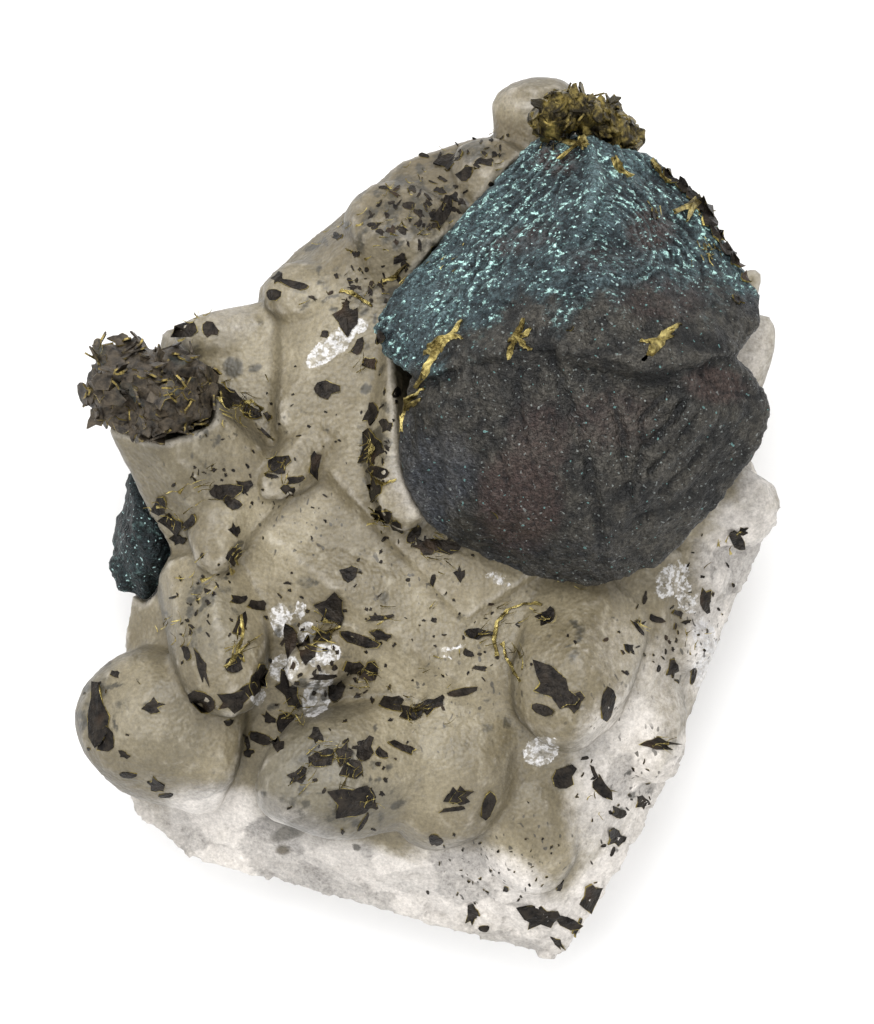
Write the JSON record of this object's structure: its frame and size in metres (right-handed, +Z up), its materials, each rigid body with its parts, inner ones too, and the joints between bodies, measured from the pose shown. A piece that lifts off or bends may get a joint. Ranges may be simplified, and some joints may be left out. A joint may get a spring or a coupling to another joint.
{
  "type": "bornite specimen",
  "caption": "Mineral specimen: a blue-black bornite crystal and a smaller one on a plate of hazy quartz crystals, with dark sulfide flakes and brassy chalcopyrite. It lies on its sawn back.",
  "frame": {"origin": "under the middle of the bounding box, in the plane of the sawn back that the specimen lies on", "axes": "+Z up, out of the specimen's crystal face; +Y along its length, towards the chalcopyrite crown; +X to the right of the face as it is looked at"},
  "size_m": [0.0428, 0.0536, 0.026],
  "materials": {
    "quartz": "hazy, glossy crystal faces and broken edges",
    "bornite": "metallic tarnish, blue-black with turquoise specks",
    "chalcopyrite": "ragged, brassy",
    "sulfide": "dark brown metallic flakes"
  },
  "bodies": {
    "root": {"quartz_matrix": "quartz", "bornite_crystal_large": "bornite", "bornite_crystal_small": "bornite", "chalcopyrite_crown": "chalcopyrite", "sulfide_crust": "sulfide", "seam_blade_left": "chalcopyrite", "seam_blade_low": "chalcopyrite", "seam_blade_middle": "chalcopyrite", "seam_blade_right": "chalcopyrite", "rim_plate_1": "chalcopyrite", "rim_plate_2": "chalcopyrite", "rim_plate_3": "chalcopyrite", "rim_plate_4": "chalcopyrite", "rim_plate_5": "chalcopyrite", "sulfide_flake_01": "sulfide", "sulfide_flake_02": "sulfide", "sulfide_flake_03": "sulfide", "sulfide_flake_04": "sulfide", "sulfide_flake_05": "sulfide", "sulfide_flake_06": "sulfide", "sulfide_flake_07": "sulfide", "sulfide_flake_08": "sulfide", "sulfide_flake_09": "sulfide", "sulfide_flake_10": "sulfide", "sulfide_flake_11": "sulfide", "sulfide_flake_12": "sulfide", "sulfide_flake_13": "sulfide", "sulfide_flake_14": "sulfide", "sulfide_flake_15": "sulfide", "sulfide_flake_16": "sulfide", "sulfide_flake_17": "sulfide", "sulfide_flake_18": "sulfide", "sulfide_flake_19": "sulfide", "sulfide_flake_20": "sulfide", "sulfide_flake_21": "sulfide", "sulfide_flake_22": "sulfide", "sulfide_flake_23": "sulfide", "sulfide_flake_24": "sulfide", "sulfide_flake_25": "sulfide", "sulfide_flake_26": "sulfide", "sulfide_flake_27": "sulfide", "sulfide_flake_28": "sulfide", "sulfide_flake_29": "sulfide", "sulfide_flake_30": "sulfide", "sulfide_flake_31": "sulfide", "sulfide_flake_32": "sulfide", "sulfide_flake_33": "sulfide", "sulfide_flake_34": "sulfide", "sulfide_flake_35": "sulfide", "sulfide_flake_36": "sulfide", "sulfide_flake_37": "sulfide", "sulfide_flake_38": "sulfide", "sulfide_flake_39": "sulfide", "sulfide_flake_40": "sulfide", "sulfide_flake_41": "sulfide", "sulfide_flake_42": "sulfide", "sulfide_flake_43": "sulfide", "sulfide_flake_44": "sulfide"}
  },
  "joints": []
}
